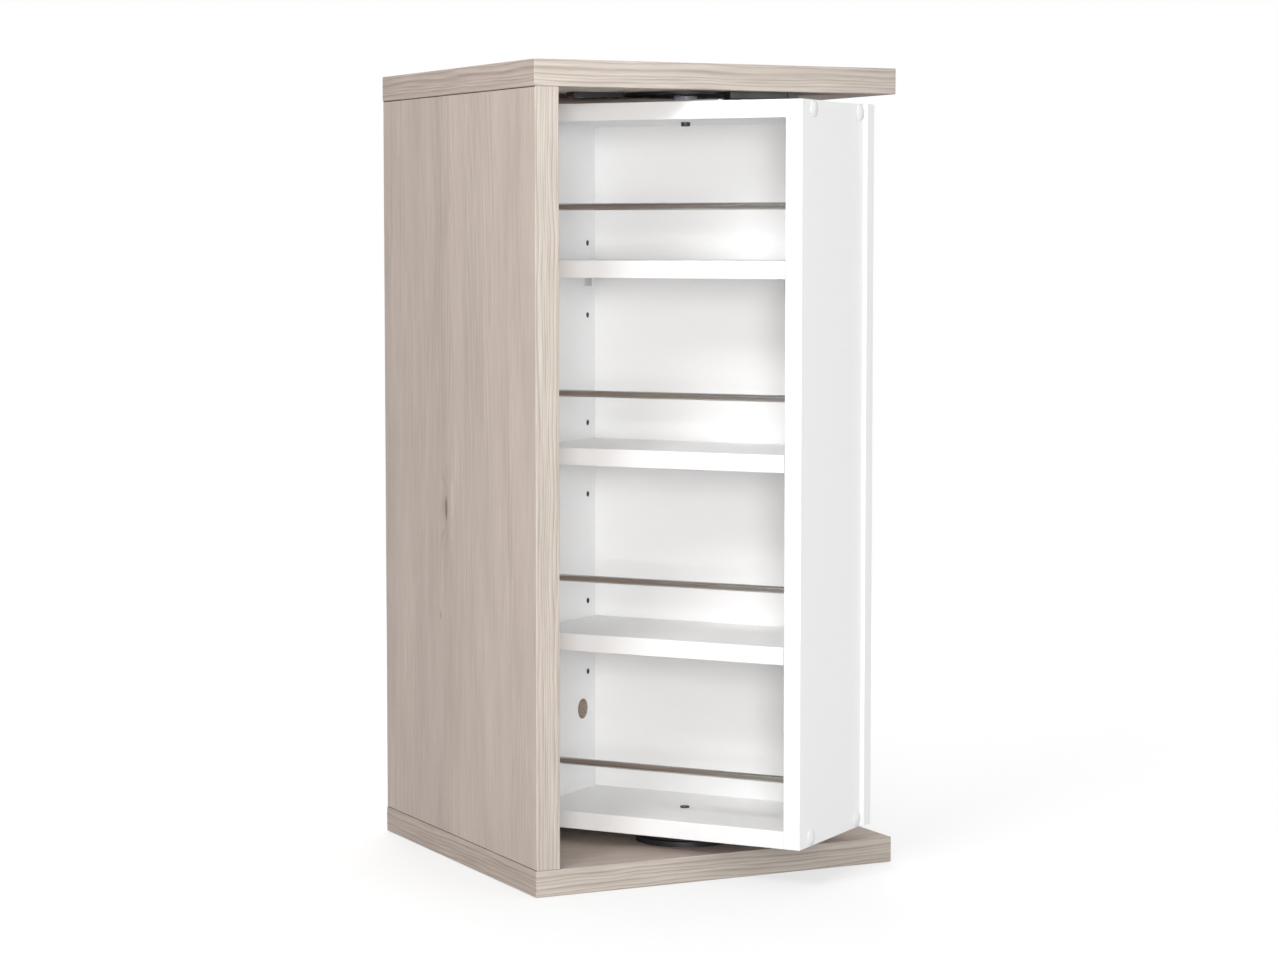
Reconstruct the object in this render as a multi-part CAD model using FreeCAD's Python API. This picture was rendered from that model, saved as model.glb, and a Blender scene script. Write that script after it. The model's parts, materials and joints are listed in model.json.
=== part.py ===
"""Swivel bathroom cabinet: an open-sided casing with a shelf unit that turns inside it.

Millimetres, +Z up. The origin is the centre of the casing's underside, +X runs to the right
along the front and +Y runs back to the wall. The casing is drawn in place. The shelf unit is
drawn square, with the swivel axis at x = y = 0, and is then turned to its stored angle.
"""
import FreeCAD, Part
import math
import os

V = FreeCAD.Vector
UP = V(0, 0, 1)
DOWN = V(0, 0, -1)

# Casing boards
CASING_W = 340.0
CASING_D = 330.0
CASING_H = 687.0
CASING_T = 22.0
BACK_T = 16.0
CASING_EDGE_R = 0.8
SIDE_RECESS = 0.6

# Swivel axis and the angle at which the shelf unit is stored (clockwise from shelves-forward)
AXIS_X = 6.0
AXIS_Y = -90.5
SWIVEL_DEG = 54.0
SWIVEL_TRAVEL_DEG = 180.0
GAP_BELOW = 12.0
GAP_ABOVE = 9.0

# Shelf unit boards
UNIT_W = 276.0
UNIT_D = 126.5
UNIT_FRONT = 62.0
UNIT_T = 15.0
BOARD_OVERHANG = 3.0
UNIT_EDGE_R = 0.6
MIRROR_INSET = 10.0
MIRROR_T = 4.0
MIRROR_BEVEL = 1.2

# Shelves, their supports and the guard rails, on a 32 mm drilling grid
GRID = 32.0
SHELF_PITCH = 5 * GRID
LOWEST_PIN_Z = 186.0
PIN_R = 2.5
PIN_HOLE_DEPTH = 9.0
PIN_FROM_BACK = 14.0
PIN_FROM_FRONT = 32.0
SHELF_SIDE_GAP = 0.5
RAIL_R = 3.0
RAIL_FROM_FRONT = 20.0
LOWEST_RAIL_Z = 89.0
RAIL_SOCKET = 8.0
SIDE_PORT_R = 9.0
SIDE_PORT_V = 40.5
SIDE_PORT_Z = 121.5

# Wall fixing holes in the back panel
WALL_HOLE_R = 3.5
WALL_SPACING_X = 200.0
WALL_SPACING_Z = 480.0

# Joinery
DOWEL_R = 4.0
DOWEL_L = 30.0
SLIM_DOWEL_R = 3.0
SLIM_DOWEL_L = 24.0
CAM_R = 7.5
CAM_DEPTH = 12.5
CAM_FROM_END = 34.0
CAM_BOLT_R = 3.5
CAM_BOLT_BITE = 11.0
CARCASE_SCREW_R = 2.5
CARCASE_SCREW_HEAD_R = 4.5
CARCASE_SCREW_L = 48.0
CAP_R = 7.0
CAP_H = 2.4
CAP_RIM = 0.5
CAP_FROM_FRONT = 23.0
CAP_FROM_BACK = 8.5

# Turntable, pivot, catch
RUNNING_GAP = 0.05
TABLE_R = 43.0
TABLE_TOP_R = 41.0
TABLE_SPLIT_Z = 27.2
TABLE_GAP = 0.4
BALL_R = 2.5
BALL_TRACK_R = 34.0
BALL_COUNT = 24
TABLE_SCREW_PCR = 25.0
STOP_R = 2.0
STOP_TRACK_R = 13.0
STOP_END_GAP = 0.3
TABLE_BOLT_R = 2.5
DISC_R = 52.0
DISC_T = 2.0
DISC_SCREW_PCR = 40.0
PIVOT_R = 4.0
PIVOT_TAIL = 3.5
BUSH_R = 8.0
BUSH_DEPTH = 16.0
INSERT_R = 6.0
INSERT_L = 12.0
SPACER_R = 10.0
SCREW_R = 1.8
SCREW_HEAD_R = 3.5
CATCH_X = (15.0, 80.0)
CATCH_Y = (-155.0, -143.0)
CATCH_H = 6.6
CATCH_POLE_DROP = 0.8
CATCH_POLE_T = 1.6
CATCH_POLE_REACH = 3.0
PAD_X = (-99.0, -53.0)
PAD_Y = (-90.0, -75.0)
PAD_H = 4.5
PLATE_L = 44.0
PLATE_W = 6.0
PLATE_T = 1.0

# Places worked out from the driving dimensions
LEFT = -CASING_W / 2
RIGHT = CASING_W / 2
FRONT = -CASING_D / 2
WALL = CASING_D / 2
FLOOR_Z = CASING_T
CEILING_Z = CASING_H - CASING_T
BACK_FACE = WALL - BACK_T
LEFT_FACE = LEFT + CASING_T
UNIT_Z0 = FLOOR_Z + GAP_BELOW
UNIT_Z1 = CEILING_Z - GAP_ABOVE
HALF_W = UNIT_W / 2
INNER_U = HALF_W - UNIT_T
V_FRONT = -UNIT_FRONT
V_BACK = V_FRONT + UNIT_D
V_BOARD = V_BACK + UNIT_T
V_RAIL = V_FRONT + RAIL_FROM_FRONT
V_PINS = (V_FRONT + PIN_FROM_FRONT, V_BACK - PIN_FROM_BACK)
V_CAPS = (V_FRONT + CAP_FROM_FRONT, V_BACK - CAP_FROM_BACK)
Z_PANELS = (UNIT_Z0 + UNIT_T / 2, UNIT_Z1 - UNIT_T / 2)


# ---- shapes -------------------------------------------------------------------------------

def box(x, y, z):
    """A box between the two ends given on each axis."""
    return Part.makeBox(x[1] - x[0], y[1] - y[0], z[1] - z[0], V(x[0], y[0], z[0]))


def board(x, y, z, radius):
    """A board with all its edges eased."""
    plain = box(x, y, z)
    return plain.makeFillet(radius, plain.Edges)


def rod(radius, length, base, direction=UP):
    return Part.makeCylinder(radius, length, base, direction)


def tube(outer, inner, length, base, direction=UP):
    return rod(outer, length, base, direction).cut(rod(inner, length, base, direction))


def at_angle(radius, degrees, z):
    """A point on a circle about the local origin."""
    angle = math.radians(degrees)
    return V(radius * math.cos(angle), radius * math.sin(angle), z)


def around(count, radius, z, start=0.0):
    """Points evenly spaced round a circle about the local origin."""
    return [at_angle(radius, start + 360.0 * i / count, z) for i in range(count)]


def countersunk(tip, direction, length, shank_r=SCREW_R, head_r=SCREW_HEAD_R):
    """A countersunk screw whose flat head ends at tip and whose shank runs along direction."""
    head_h = head_r - shank_r
    cone = Part.makeCone(head_r, shank_r, head_h, tip, direction)
    point_h = 2.0 * shank_r
    shank_l = length - head_h - point_h
    shank_base = tip + direction * head_h
    shank = rod(shank_r, shank_l, shank_base, direction)
    point = Part.makeCone(shank_r, 0.3, point_h, shank_base + direction * shank_l, direction)
    return cone.fuse(shank).fuse(point).removeSplitter()


def cross_slot(tip, direction, size, depth):
    """The cutter for a cross recess in a screw or cam head."""
    across = V(-direction.y, direction.x, 0) if abs(direction.z) < 0.5 else V(1, 0, 0)
    side = direction.cross(across)
    bars = []
    for long_way, short_way in ((across, side), (side, across)):
        half_l = long_way * (size / 2)
        half_w = short_way * (size / 8)
        corners = [tip + half_l + half_w, tip + half_l - half_w,
                   tip - half_l - half_w, tip - half_l + half_w]
        face = Part.Face(Part.makePolygon(corners + corners[:1]))
        bars.append(face.extrude(direction * depth))
    return bars[0].fuse(bars[1])


def cross_head(tip, direction, length, shank_r=SCREW_R, head_r=SCREW_HEAD_R):
    """A countersunk screw with its cross recess."""
    screw = countersunk(tip, direction, length, shank_r, head_r)
    return screw.cut(cross_slot(tip, direction, head_r * 1.1, head_r * 0.45))


def cut_all(body, tools):
    for tool in tools:
        body = body.cut(tool)
    return body


def on_axis(shape):
    """Moves something drawn about the swivel axis to its place in the casing."""
    moved = shape.copy()
    moved.translate(V(AXIS_X, AXIS_Y, 0))
    return moved


def turned(shape):
    """Moves a piece of the shelf unit to its place at the stored angle."""
    moved = shape.copy()
    moved.rotate(V(0, 0, 0), UP, -SWIVEL_DEG)
    moved.translate(V(AXIS_X, AXIS_Y, 0))
    return moved


# ---- casing joinery -----------------------------------------------------------------------

def casing_dowels():
    """Wood dowels from the left and back panels into the top, the bottom and each other."""
    pegs = []
    bite = DOWEL_L * 0.4
    for z in (FLOOR_Z - bite, CEILING_Z + bite - DOWEL_L):
        for y in (-125.0, 0.0, 100.0):
            pegs.append(rod(DOWEL_R, DOWEL_L, V(LEFT + CASING_T / 2, y, z)))
        for x in (-80.0, 20.0, 140.0):
            pegs.append(rod(DOWEL_R, DOWEL_L, V(x, WALL - BACK_T / 2, z)))
    for z in (140.0, CASING_H / 2, 540.0):
        base = V(LEFT_FACE - bite, WALL - BACK_T / 2, z)
        pegs.append(rod(DOWEL_R, DOWEL_L, base, V(1, 0, 0)))
    return pegs


def cam_places():
    """Each cam's centre on its panel's inner face, the way into the panel and its bolt's way."""
    places = []
    for z, bolt_way in ((FLOOR_Z + CAM_FROM_END, DOWN), (CEILING_Z - CAM_FROM_END, UP)):
        for y in (-70.0, 50.0):
            places.append((V(LEFT_FACE, y, z), V(-1, 0, 0), bolt_way))
        for x in (-30.0, 90.0):
            places.append((V(x, BACK_FACE, z), V(0, 1, 0), bolt_way))
    return places


def cam_bolt(place):
    """The bolt that stands in the top or bottom panel and reaches into the cam."""
    face, inward, bolt_way = place
    start = face + inward * (CAM_DEPTH * 0.6)
    return rod(CAM_BOLT_R, CAM_FROM_END + CAM_BOLT_BITE, start, bolt_way)


def cam_housing(place):
    face, inward, bolt_way = place
    body = rod(CAM_R, CAM_DEPTH, face, inward)
    return body.cut(cam_bolt(place)).cut(cross_slot(face, inward, CAM_R, 2.0))


def cam_pocket(place):
    face, inward, bolt_way = place
    return rod(CAM_R, CAM_DEPTH, face, inward)


def wall_holes():
    middle_z = CASING_H / 2
    return [rod(WALL_HOLE_R, BACK_T, V(x, BACK_FACE, z), V(0, 1, 0))
            for x in (-WALL_SPACING_X / 2, WALL_SPACING_X / 2)
            for z in (middle_z - WALL_SPACING_Z / 2, middle_z + WALL_SPACING_Z / 2)]


# ---- turntable under the shelf unit (drawn about the swivel axis) ---------------------------

def ball_track(clearance):
    return Part.makeTorus(BALL_TRACK_R, BALL_R + clearance, V(0, 0, TABLE_SPLIT_Z))


def table_balls():
    return [Part.makeSphere(BALL_R, centre)
            for centre in around(BALL_COUNT, BALL_TRACK_R, TABLE_SPLIT_Z)]


def stop_angle():
    """Where the stop pin stands, in the shelf unit's own directions."""
    return 90.0


def stop_slot():
    """The half-turn slot in the base that the stop pin runs in, with its two rounded ends."""
    slot_r = STOP_R + STOP_END_GAP
    depth = TABLE_SPLIT_Z - FLOOR_Z - 1.0
    z = TABLE_SPLIT_Z - depth
    ring = tube(STOP_TRACK_R + slot_r, STOP_TRACK_R - slot_r, depth, V(0, 0, z))
    half = box((0, 2 * STOP_TRACK_R), (-2 * STOP_TRACK_R, 2 * STOP_TRACK_R), (z, z + depth))
    slot = ring.common(half)
    for end in (stop_angle(), stop_angle() - SWIVEL_TRAVEL_DEG):
        slot = slot.fuse(rod(slot_r, depth, at_angle(STOP_TRACK_R, end, z)))
    return slot.removeSplitter()


def table_base_screws():
    top = TABLE_SPLIT_Z - TABLE_GAP
    return [cross_head(p, DOWN, 20.0) for p in around(4, TABLE_SCREW_PCR, top, 45.0)]


def table_base():
    """The lower plate, screwed to the casing's floor, with the lower ball track."""
    plate = rod(TABLE_R, TABLE_SPLIT_Z - TABLE_GAP / 2 - FLOOR_Z, V(0, 0, FLOOR_Z))
    rim = [edge for edge in plate.Edges if edge.BoundBox.ZMin > FLOOR_Z + 1.0]
    plate = plate.makeFillet(1.0, rim)
    bore = rod(TABLE_BOLT_R + RUNNING_GAP, GAP_BELOW, V(0, 0, FLOOR_Z))
    sinks = [rod(SCREW_HEAD_R, TABLE_GAP, p)
             for p in around(4, TABLE_SCREW_PCR, TABLE_SPLIT_Z - TABLE_GAP, 45.0)]
    cutters = [bore, ball_track(0.0), stop_slot()] + sinks
    screws = [countersunk(p, DOWN, 20.0)
              for p in around(4, TABLE_SCREW_PCR, TABLE_SPLIT_Z - TABLE_GAP, 45.0)]
    return cut_all(plate, cutters + screws)


def table_top_screws():
    start = TABLE_SPLIT_Z + TABLE_GAP
    return [cross_head(p, UP, 16.0) for p in around(4, TABLE_SCREW_PCR, start, 0.0)]


def stop_pin():
    """The peg under the upper plate that runs in the base's slot."""
    low = FLOOR_Z + 1.0 + TABLE_GAP
    return rod(STOP_R, UNIT_Z0 - 2.0 - low, at_angle(STOP_TRACK_R, stop_angle(), low))


def table_top():
    """The upper plate, screwed under the shelf unit's floor, with the upper ball track."""
    low = TABLE_SPLIT_Z + TABLE_GAP / 2
    plate = rod(TABLE_TOP_R, UNIT_Z0 - low, V(0, 0, low))
    bore = rod(TABLE_BOLT_R, GAP_BELOW, V(0, 0, low))
    sinks = [rod(SCREW_HEAD_R, TABLE_GAP, p)
             for p in around(4, TABLE_SCREW_PCR, TABLE_SPLIT_Z, 0.0)]
    screws = [countersunk(p, UP, 16.0)
              for p in around(4, TABLE_SCREW_PCR, TABLE_SPLIT_Z + TABLE_GAP, 0.0)]
    return cut_all(plate, [bore, ball_track(0.1), stop_pin()] + sinks + screws)


def table_bolt():
    """The bolt on the axis: it holds the unit's floor on the turntable and runs in the base."""
    return rod(TABLE_BOLT_R, UNIT_Z0 + UNIT_T + 1.0 - FLOOR_Z - 1.0, V(0, 0, FLOOR_Z + 1.0))


def table_bolt_ring():
    """The dark plastic ring round the bolt's end on the unit's floor."""
    ring = tube(TABLE_BOLT_R + 1.5, TABLE_BOLT_R, 1.4, V(0, 0, UNIT_Z0 + UNIT_T))
    outer = [edge for edge in ring.Edges
             if edge.BoundBox.XLength > 2 * TABLE_BOLT_R + 1.0
             and edge.BoundBox.ZMin > UNIT_Z0 + UNIT_T + 0.5]
    return ring.makeFillet(0.6, outer)


# ---- top pivot (drawn about the swivel axis) ------------------------------------------------

def disc_screws():
    z = CEILING_Z - DISC_T
    return [cross_head(p, UP, 15.0) for p in around(4, DISC_SCREW_PCR, z, 30.0)]


def bearing_disc():
    """The thin black disc under the casing's top that the pivot turns against."""
    plate = tube(DISC_R, BUSH_R, DISC_T, V(0, 0, CEILING_Z - DISC_T))
    screws = [countersunk(p, UP, 15.0)
              for p in around(4, DISC_SCREW_PCR, CEILING_Z - DISC_T, 30.0)]
    return cut_all(plate, screws)


def pivot_bush():
    length = BUSH_DEPTH + DISC_T
    return tube(BUSH_R, PIVOT_R + RUNNING_GAP, length, V(0, 0, CEILING_Z - DISC_T))


def pivot_bolt():
    """The pivot bolt: its tail shows below the unit's top board, its head end is in the bush."""
    low = UNIT_Z1 - UNIT_T - PIVOT_TAIL
    bolt = rod(PIVOT_R, CEILING_Z + BUSH_DEPTH - 1.0 - low, V(0, 0, low))
    ends = [edge for edge in bolt.Edges if edge.BoundBox.ZLength < 0.1]
    return bolt.makeChamfer(0.6, ends)


def pivot_insert():
    return tube(INSERT_R, PIVOT_R, INSERT_L, V(0, 0, UNIT_Z1 - INSERT_L))


def pivot_spacer():
    spacer = tube(SPACER_R, PIVOT_R, GAP_ABOVE - DISC_T - 0.1, V(0, 0, UNIT_Z1))
    outer = [edge for edge in spacer.Edges
             if edge.BoundBox.XLength > 2 * PIVOT_R + 1.0 and edge.BoundBox.ZLength < 0.1]
    return spacer.makeFillet(0.5, outer)


# ---- magnetic catch and tilt pad under the casing's top --------------------------------------

def catch_poles():
    """The two steel pole strips of the catch, which stand a little below its housing."""
    low = CEILING_Z - CATCH_H - CATCH_POLE_DROP
    middle = (CATCH_Y[0] + CATCH_Y[1]) / 2
    span = (CATCH_X[0] + 12.0, CATCH_X[1] - 12.0)
    return [box(span, (y, y + CATCH_POLE_T), (low, low + 5.0))
            for y in (middle - CATCH_POLE_REACH, middle + CATCH_POLE_REACH - CATCH_POLE_T)]


def catch_screw_tips():
    middle = (CATCH_Y[0] + CATCH_Y[1]) / 2
    z = CEILING_Z - CATCH_H
    return [V(x, middle, z) for x in (CATCH_X[0] + 6.0, CATCH_X[1] - 6.0)]


def catch_housing():
    body = box(CATCH_X, CATCH_Y, (CEILING_Z - CATCH_H, CEILING_Z))
    low_edges = [edge for edge in body.Edges if edge.BoundBox.ZMax < CEILING_Z - 1.0]
    body = body.makeFillet(0.8, low_edges)
    screws = [countersunk(tip, UP, 18.0) for tip in catch_screw_tips()]
    groove_x = CATCH_X[1] - 11.0
    groove = box((groove_x, groove_x + 0.8), (CATCH_Y[0], CATCH_Y[0] + 1.0),
                 (CEILING_Z - CATCH_H, CEILING_Z))
    return cut_all(body, catch_poles() + screws + [groove])


def tilt_pad_screw_tips():
    middle = (PAD_Y[0] + PAD_Y[1]) / 2
    return [V(x, middle, CEILING_Z - PAD_H) for x in (PAD_X[0] + 9.0, PAD_X[1] - 9.0)]


def tilt_pad():
    """A low pad beside the disc that keeps the unit from tipping far on its turntable."""
    body = box(PAD_X, PAD_Y, (CEILING_Z - PAD_H, CEILING_Z))
    low_edges = [edge for edge in body.Edges if edge.BoundBox.ZMax < CEILING_Z - 1.0]
    body = body.makeFillet(0.8, low_edges)
    return cut_all(body, [countersunk(tip, UP, 16.0) for tip in tilt_pad_screw_tips()])


def fitting_screws():
    """The screws of the catch and of the tilt pad."""
    catch = [cross_head(tip, UP, 18.0) for tip in catch_screw_tips()]
    pad = [cross_head(tip, UP, 16.0) for tip in tilt_pad_screw_tips()]
    return catch + pad


# ---- shelf unit (drawn square, about the swivel axis) ----------------------------------------

def catch_plate_centres():
    """The two spots on the unit's top that lie under the catch at the ends of the travel."""
    u = (CATCH_X[0] + CATCH_X[1]) / 2 - AXIS_X
    v = (CATCH_Y[0] + CATCH_Y[1]) / 2 - AXIS_Y
    return [(u, v), (-u, -v)]


def plate_screw_tips():
    return [V(u + side * (PLATE_L / 2 - 6.0), v, UNIT_Z1 + PLATE_T)
            for u, v in catch_plate_centres() for side in (-1, 1)]


def plate_screw(tip, maker):
    return maker(tip, DOWN, 12.0, 1.4, 2.4)


def catch_plates():
    plates = []
    for u, v in catch_plate_centres():
        plate = box((u - PLATE_L / 2, u + PLATE_L / 2), (v - PLATE_W / 2, v + PLATE_W / 2),
                    (UNIT_Z1, UNIT_Z1 + PLATE_T))
        corners = [edge for edge in plate.Edges if edge.BoundBox.ZLength > 0.5]
        plate = plate.makeFillet(2.0, corners)
        holes = [plate_screw(tip, countersunk) for tip in plate_screw_tips()]
        plates.append(cut_all(plate, holes))
    return plates


def carcase_screws(maker):
    """Screws through the sides into the ends of the unit's top and bottom boards."""
    return [maker(V(side * HALF_W, v, z), V(-side, 0, 0), CARCASE_SCREW_L,
                  CARCASE_SCREW_R, CARCASE_SCREW_HEAD_R)
            for side in (-1, 1) for v in V_CAPS for z in Z_PANELS]


def cap_dome():
    """A shallow dome on a low rim, standing on the plane x = 0 and turned about the X axis."""
    centre_x = (CAP_H ** 2 - CAP_RIM ** 2 - CAP_R ** 2) / (2 * (CAP_H - CAP_RIM))
    ball_r = CAP_H - centre_x
    half_angle = math.asin(CAP_R / ball_r) / 2
    middle = V(centre_x + ball_r * math.cos(half_angle), ball_r * math.sin(half_angle), 0)
    foot, rim, top = V(0, CAP_R, 0), V(CAP_RIM, CAP_R, 0), V(CAP_H, 0, 0)
    edges = [Part.makeLine(V(0, 0, 0), foot), Part.makeLine(foot, rim),
             Part.Arc(rim, middle, top).toShape(), Part.makeLine(top, V(0, 0, 0))]
    return Part.Face(Part.Wire(edges)).revolve(V(0, 0, 0), V(1, 0, 0), 360)


def cover_cap(side, v, z):
    """The dome over one screw head, on the outer face of a side board."""
    cap = cap_dome()
    if side < 0:
        cap.rotate(V(0, 0, 0), UP, 180)
    cap.translate(V(side * HALF_W, v, z))
    return cap


def cover_caps():
    return [cover_cap(side, v, z) for side in (-1, 1) for v in V_CAPS for z in Z_PANELS]


def board_dowels():
    """Slim dowels from the back edges of the sides into the back board."""
    bite = 9.0
    return [rod(SLIM_DOWEL_R, SLIM_DOWEL_L, V(side * (HALF_W - UNIT_T / 2), V_BACK + bite, z),
                V(0, -1, 0))
            for side in (-1, 1) for z in (90.0, 265.0, 425.0, 600.0)]


def shelf_pin_heights():
    """The middle pin of each shelf, from the lowest shelf up."""
    return [LOWEST_PIN_Z + SHELF_PITCH * i for i in range(3)]


def rail_heights():
    return [LOWEST_RAIL_Z + SHELF_PITCH * i for i in range(4)]


def guard_rail(z):
    length = 2 * (INNER_U + RAIL_SOCKET)
    return rod(RAIL_R, length, V(-length / 2, V_RAIL, z), V(1, 0, 0))


def pin_holes(side):
    """Three holes, 32 mm apart, at the front and back of each shelf."""
    way = V(side, 0, 0)
    return [rod(PIN_R, PIN_HOLE_DEPTH, V(side * INNER_U, v, z + step), way)
            for v in V_PINS for z in shelf_pin_heights() for step in (-GRID, 0.0, GRID)]


def unit_side(side):
    """A side board: -1 is the left one, which also has the round port near its foot."""
    inner, outer = side * INNER_U, side * HALF_W
    u = (min(inner, outer), max(inner, outer))
    body = board(u, (V_FRONT, V_BACK), (UNIT_Z0, UNIT_Z1), UNIT_EDGE_R)
    cutters = pin_holes(side) + board_dowels() + carcase_screws(countersunk)
    cutters += [guard_rail(z) for z in rail_heights()]
    if side < 0:
        cutters.append(rod(SIDE_PORT_R, UNIT_T, V(u[0], SIDE_PORT_V, SIDE_PORT_Z), V(1, 0, 0)))
    return cut_all(body, cutters)


def unit_top():
    body = board((-INNER_U, INNER_U), (V_FRONT, V_BACK), (UNIT_Z1 - UNIT_T, UNIT_Z1), UNIT_EDGE_R)
    holes = [rod(PIVOT_R, UNIT_T, V(0, 0, UNIT_Z1 - UNIT_T)),
             rod(INSERT_R, INSERT_L, V(0, 0, UNIT_Z1 - INSERT_L))]
    holes += [plate_screw(tip, countersunk) for tip in plate_screw_tips()]
    return cut_all(body, holes + carcase_screws(countersunk))


def unit_bottom():
    body = board((-INNER_U, INNER_U), (V_FRONT, V_BACK), (UNIT_Z0, UNIT_Z0 + UNIT_T), UNIT_EDGE_R)
    holes = [rod(TABLE_BOLT_R, UNIT_T, V(0, 0, UNIT_Z0))]
    holes += [countersunk(p, UP, 16.0)
              for p in around(4, TABLE_SCREW_PCR, TABLE_SPLIT_Z + TABLE_GAP, 0.0)]
    return cut_all(body, holes + carcase_screws(countersunk))


def back_board():
    """The wide board behind the shelves, which fills the casing's front when it faces forward."""
    half = HALF_W + BOARD_OVERHANG
    body = board((-half, half), (V_BACK, V_BOARD), (UNIT_Z0, UNIT_Z1), UNIT_EDGE_R)
    return cut_all(body, board_dowels())


def mirror():
    half = HALF_W + BOARD_OVERHANG - MIRROR_INSET
    glass = box((-half, half), (V_BOARD, V_BOARD + MIRROR_T),
                (UNIT_Z0 + MIRROR_INSET, UNIT_Z1 - MIRROR_INSET))
    front = [edge for edge in glass.Edges if edge.BoundBox.YMin > V_BOARD + MIRROR_T - 0.1]
    return glass.makeChamfer(MIRROR_BEVEL, front)


def shelf(pin_z):
    low = pin_z + PIN_R
    half = INNER_U - SHELF_SIDE_GAP
    return board((-half, half), (V_FRONT, V_BACK - SHELF_SIDE_GAP), (low, low + UNIT_T),
                 UNIT_EDGE_R)


def shelf_support(side, v, z):
    """A spoon-shaped support: a round pin in the side and a flat tongue under the shelf."""
    way = V(side, 0, 0)
    face = side * INNER_U
    pin = rod(PIN_R, PIN_HOLE_DEPTH + 1.0, V(face - side, v, z), way)
    tongue_u = sorted((face, face - side * 12.0))
    tongue = box(tongue_u, (v - 5.0, v + 5.0), (z + PIN_R - 1.6, z + PIN_R))
    lug_u = sorted((face, face - side * 1.6))
    lug = box(lug_u, (v - 5.0, v + 5.0), (z - 6.0, z + PIN_R - 1.6))
    free_end = face - side * 12.0
    tip_edges = [edge for edge in tongue.Edges
                 if edge.BoundBox.ZLength > 1.0 and abs(edge.BoundBox.XMin - free_end) < 0.1]
    tongue = tongue.makeFillet(3.0, tip_edges)
    return pin.fuse(tongue).fuse(lug).removeSplitter()


def shelf_supports():
    return [shelf_support(side, v, z)
            for side in (-1, 1) for v in V_PINS for z in shelf_pin_heights()]


# ---- casing boards --------------------------------------------------------------------------

def casing_top():
    body = board((LEFT, RIGHT), (FRONT, WALL), (CEILING_Z, CASING_H), CASING_EDGE_R)
    cutters = casing_dowels() + [cam_bolt(place) for place in cam_places()]
    cutters.append(on_axis(rod(BUSH_R, BUSH_DEPTH, V(0, 0, CEILING_Z))))
    cutters += [on_axis(screw) for screw in disc_screws()]
    return cut_all(body, cutters + fitting_screws())


def casing_bottom():
    body = board((LEFT, RIGHT), (FRONT, WALL), (0, FLOOR_Z), CASING_EDGE_R)
    cutters = casing_dowels() + [cam_bolt(place) for place in cam_places()]
    return cut_all(body, cutters + [on_axis(screw) for screw in table_base_screws()])


def upright_cutters():
    places = cam_places()
    return (casing_dowels() + [cam_bolt(place) for place in places]
            + [cam_pocket(place) for place in places])


def casing_left():
    outer_face = LEFT + SIDE_RECESS
    body = board((outer_face, LEFT_FACE), (FRONT, WALL), (FLOOR_Z, CEILING_Z), CASING_EDGE_R)
    return cut_all(body, upright_cutters())


def casing_back():
    body = board((LEFT_FACE, RIGHT), (BACK_FACE, WALL), (FLOOR_Z, CEILING_Z), CASING_EDGE_R)
    return cut_all(body, upright_cutters() + wall_holes())


# ---- nodes ----------------------------------------------------------------------------------

def casing_nodes():
    return {
        "casing_top_panel": [casing_top()],
        "casing_bottom_panel": [casing_bottom()],
        "casing_left_panel": [casing_left()],
        "casing_back_panel": [casing_back()],
        "casing_dowels": casing_dowels(),
        "cam_housings": [cam_housing(place) for place in cam_places()],
        "cam_bolts": [cam_bolt(place) for place in cam_places()],
        "top_bearing_disc": [on_axis(bearing_disc())],
        "bearing_disc_screws": [on_axis(screw) for screw in disc_screws()],
        "top_pivot_bush": [on_axis(pivot_bush())],
        "catch_housing": [catch_housing()],
        "catch_pole_strips": catch_poles(),
        "anti_tilt_pad": [tilt_pad()],
        "catch_and_pad_screws": fitting_screws(),
        "turntable_base": [on_axis(table_base())],
        "turntable_base_screws": [on_axis(screw) for screw in table_base_screws()],
        "turntable_balls": [on_axis(ball) for ball in table_balls()],
    }


def unit_nodes():
    nodes = {
        "unit_left_side": [unit_side(-1)],
        "unit_right_side": [unit_side(1)],
        "unit_top_board": [unit_top()],
        "unit_bottom_board": [unit_bottom()],
        "unit_back_board": [back_board()],
        "mirror_glass": [mirror()],
        "shelf_supports": shelf_supports(),
        "cover_caps": cover_caps(),
        "carcase_screws": carcase_screws(cross_head),
        "back_board_dowels": board_dowels(),
        "top_pivot_bolt": [pivot_bolt()],
        "top_pivot_insert": [pivot_insert()],
        "top_pivot_spacer": [pivot_spacer()],
        "catch_plates": catch_plates(),
        "catch_plate_screws": [plate_screw(tip, cross_head) for tip in plate_screw_tips()],
        "turntable_top": [table_top()],
        "turntable_top_screws": table_top_screws(),
        "turntable_stop_pin": [stop_pin()],
        "bottom_pivot_bolt": [table_bolt()],
        "bottom_pivot_ring": [table_bolt_ring()],
    }
    for name, pin_z in zip(("lower", "middle", "upper"), shelf_pin_heights()):
        nodes["shelf_" + name] = [shelf(pin_z)]
    for number, z in enumerate(rail_heights(), start=1):
        nodes["guard_rail_" + str(number)] = [guard_rail(z)]
    return {name: [turned(shape) for shape in shapes] for name, shapes in nodes.items()}


def write(nodes):
    os.makedirs("parts", exist_ok=True)
    for name, shapes in nodes.items():
        shape = shapes[0] if len(shapes) == 1 else Part.makeCompound(shapes)
        if not shape.isValid():
            raise ValueError(name + " is not a valid shape")
        shape.exportStep(os.path.join("parts", name + ".step"))
        print(name, len(shape.Solids), "solids", round(shape.Volume / 1000.0, 2), "cm3")


write(casing_nodes())
write(unit_nodes())
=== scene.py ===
"""Looks of the swivel bathroom cabinet: its materials, and a camera, light and floor."""

import json
import math

import bpy
from mathutils import Euler, Matrix, Vector


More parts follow.
